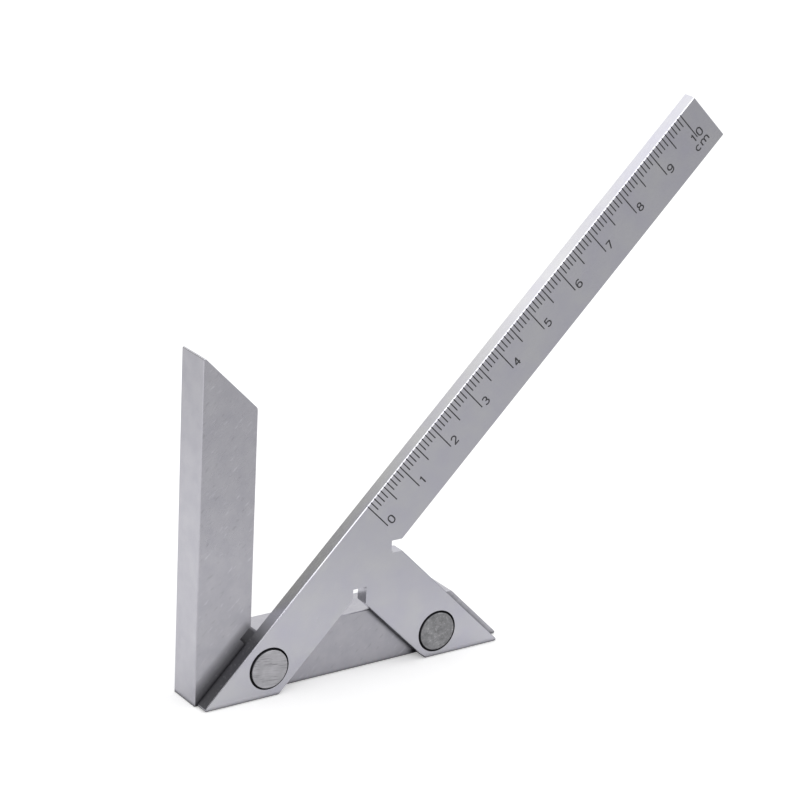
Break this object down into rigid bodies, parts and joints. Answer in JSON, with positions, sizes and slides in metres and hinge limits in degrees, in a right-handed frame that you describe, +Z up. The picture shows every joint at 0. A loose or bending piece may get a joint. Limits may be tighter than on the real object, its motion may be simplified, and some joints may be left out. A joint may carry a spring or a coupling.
{
  "type": "centre square",
  "caption": "Steel centre square: an L-shaped stock with a graduated blade across its corner, for marking diameters on round work.",
  "frame": {"origin": "middle of the foot leg's outer face, on which the square stands", "axes": "+X along the foot leg towards its tip, +Z up the other leg, +Y out of the stock's back face; the blade faces -Y"},
  "size_m": [0.1187, 0.0114, 0.1101],
  "materials": {
    "stock_steel": "ground",
    "blade_steel": "satin ground",
    "pin_steel": "filed flush"
  },
  "bodies": {
    "root": {"stock": "stock_steel", "blade": "blade_steel", "heel_pin": "pin_steel", "toe_pin": "pin_steel"}
  },
  "joints": []
}
